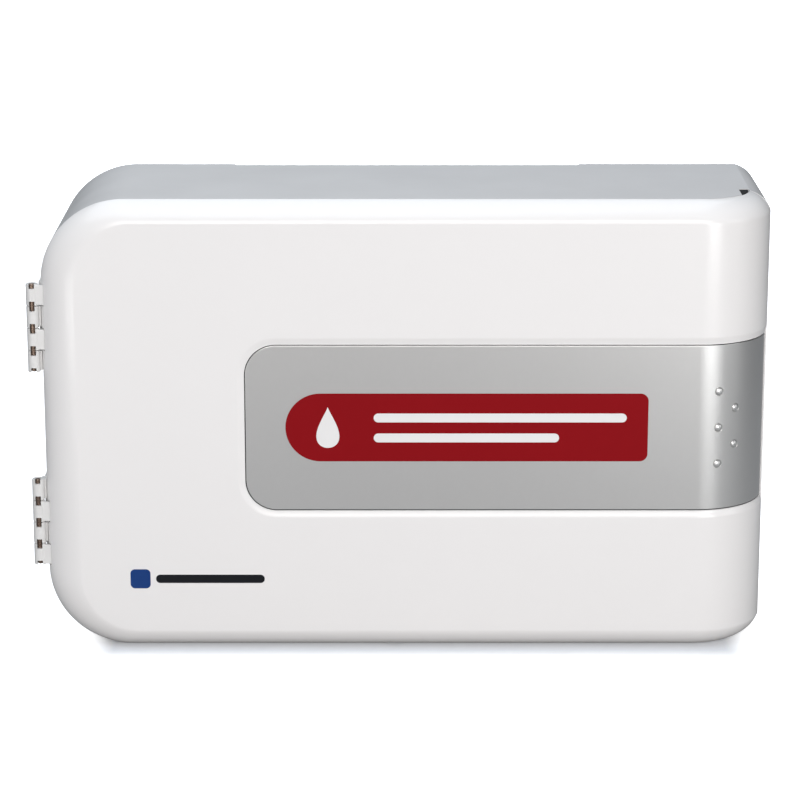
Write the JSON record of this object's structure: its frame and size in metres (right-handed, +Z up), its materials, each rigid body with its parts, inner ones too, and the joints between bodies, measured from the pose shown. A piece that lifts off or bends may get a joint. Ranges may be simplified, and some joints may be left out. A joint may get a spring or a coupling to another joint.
{
  "type": "bleeding control wall cabinet",
  "caption": "White wall cabinet with a wrap-round hinged door, silver face panel and red label, holding a windlass tourniquet and dressings.",
  "frame": {"origin": "centre of the flat base, on the cabinet's centreline", "axes": "+X to the cabinet's right as seen from the front, +Y towards the wall it hangs on, +Z up; the front faces -Y"},
  "size_m": [0.4021, 0.116, 0.25],
  "materials": {
    "white_abs": "gloss",
    "hinge_plastic": "satin",
    "silver_panel": "satin",
    "red_film": "satin",
    "steel": "satin",
    "magnet": "matte",
    "grey_plastic": "matte",
    "black_plastic": "matte",
    "black_webbing": "woven",
    "white_webbing": "woven",
    "olive_wrap": "crinkled",
    "foil_wrap": "crinkled"
  },
  "bodies": {
    "cabinet": {"body_shell": "white_abs", "bay_divider": "white_abs", "bench_shelf": "white_abs", "catch_housing": "grey_plastic", "tourniquet_cradle": "grey_plastic", "catch_magnet": "magnet", "windlass_clip": "black_plastic", "base_plate": "black_plastic", "strap_buckle": "black_plastic", "webbing_pack": "black_webbing", "inner_band": "black_webbing", "time_strap": "white_webbing", "pressure_dressing_1": "olive_wrap", "pressure_dressing_2": "olive_wrap", "gauze_pack_1": "foil_wrap", "gauze_pack_2": "foil_wrap", "glove_pouch": "olive_wrap", "hinge_upper_body_leaf": "hinge_plastic", "hinge_upper_body_screw_top": "steel", "hinge_upper_body_screw_bottom": "steel", "hinge_upper_pin": "steel", "hinge_lower_body_leaf": "hinge_plastic", "hinge_lower_body_screw_top": "steel", "hinge_lower_body_screw_bottom": "steel", "hinge_lower_pin": "steel", "catch_screw_top": "steel", "catch_screw_bottom": "steel"},
    "door": {"door_shell": "white_abs", "face_panel": "silver_panel", "face_label": "red_film", "catch_strike": "steel", "hinge_upper_door_leaf": "hinge_plastic", "hinge_upper_door_screw_top": "steel", "hinge_upper_door_screw_bottom": "steel", "hinge_lower_door_leaf": "hinge_plastic", "hinge_lower_door_screw_top": "steel", "hinge_lower_door_screw_bottom": "steel", "strike_screw_top": "steel", "strike_screw_bottom": "steel"},
    "windlass": {"windlass_rod": "black_plastic"}
  },
  "joints": [
    {"name": "door_hinge", "type": "hinge", "parent": "cabinet", "child": "door", "pos_m": [-0.2018, -0.0455, 0.125], "axis": [0, 0, -1], "range_deg": [0, 180]},
    {"name": "windlass_turn", "type": "hinge", "parent": "cabinet", "child": "windlass", "pos_m": [-0.112, 0.009, 0.132], "axis": [0, 1, 0], "range_deg": [0, 140]}
  ]
}
